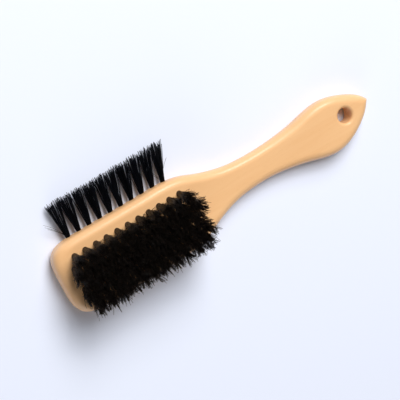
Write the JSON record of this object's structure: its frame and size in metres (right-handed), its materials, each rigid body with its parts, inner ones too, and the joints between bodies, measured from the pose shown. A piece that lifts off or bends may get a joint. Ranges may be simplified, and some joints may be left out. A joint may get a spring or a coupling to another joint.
{
  "type": "fade brush",
  "caption": "Wooden hand brush with a soft bristle field on its face, a stiff bristle row along one side edge and a handle with a hanging hole.",
  "frame": {"origin": "on the flat back, behind the middle of the bristle field", "axes": "+X from the head to the handle, +Y towards the side that carries the stiff row, +Z out of the face with the bristle field"},
  "size_m": [0.2085, 0.0643, 0.0295],
  "materials": {
    "wood": "pale close-grained wood under clear satin lacquer",
    "boar_bristle": "natural near-black boar bristle, reddish brown at the root",
    "nylon_bristle": "stiff blue-black nylon filament",
    "anchor_wire": "plain flat wire"
  },
  "bodies": {
    "root": {"brush_body": "wood", "boar_row_1": "boar_bristle", "boar_row_2": "boar_bristle", "boar_row_3": "boar_bristle", "boar_row_4": "boar_bristle", "boar_row_5": "boar_bristle", "nylon_tuft_01": "nylon_bristle", "nylon_tuft_02": "nylon_bristle", "nylon_tuft_03": "nylon_bristle", "nylon_tuft_04": "nylon_bristle", "nylon_tuft_05": "nylon_bristle", "nylon_tuft_06": "nylon_bristle", "nylon_tuft_07": "nylon_bristle", "nylon_tuft_08": "nylon_bristle", "nylon_tuft_09": "nylon_bristle", "nylon_tuft_10": "nylon_bristle", "nylon_anchor_01": "anchor_wire", "nylon_anchor_02": "anchor_wire", "nylon_anchor_03": "anchor_wire", "nylon_anchor_04": "anchor_wire", "nylon_anchor_05": "anchor_wire", "nylon_anchor_06": "anchor_wire", "nylon_anchor_07": "anchor_wire", "nylon_anchor_08": "anchor_wire", "nylon_anchor_09": "anchor_wire", "nylon_anchor_10": "anchor_wire"}
  },
  "joints": []
}
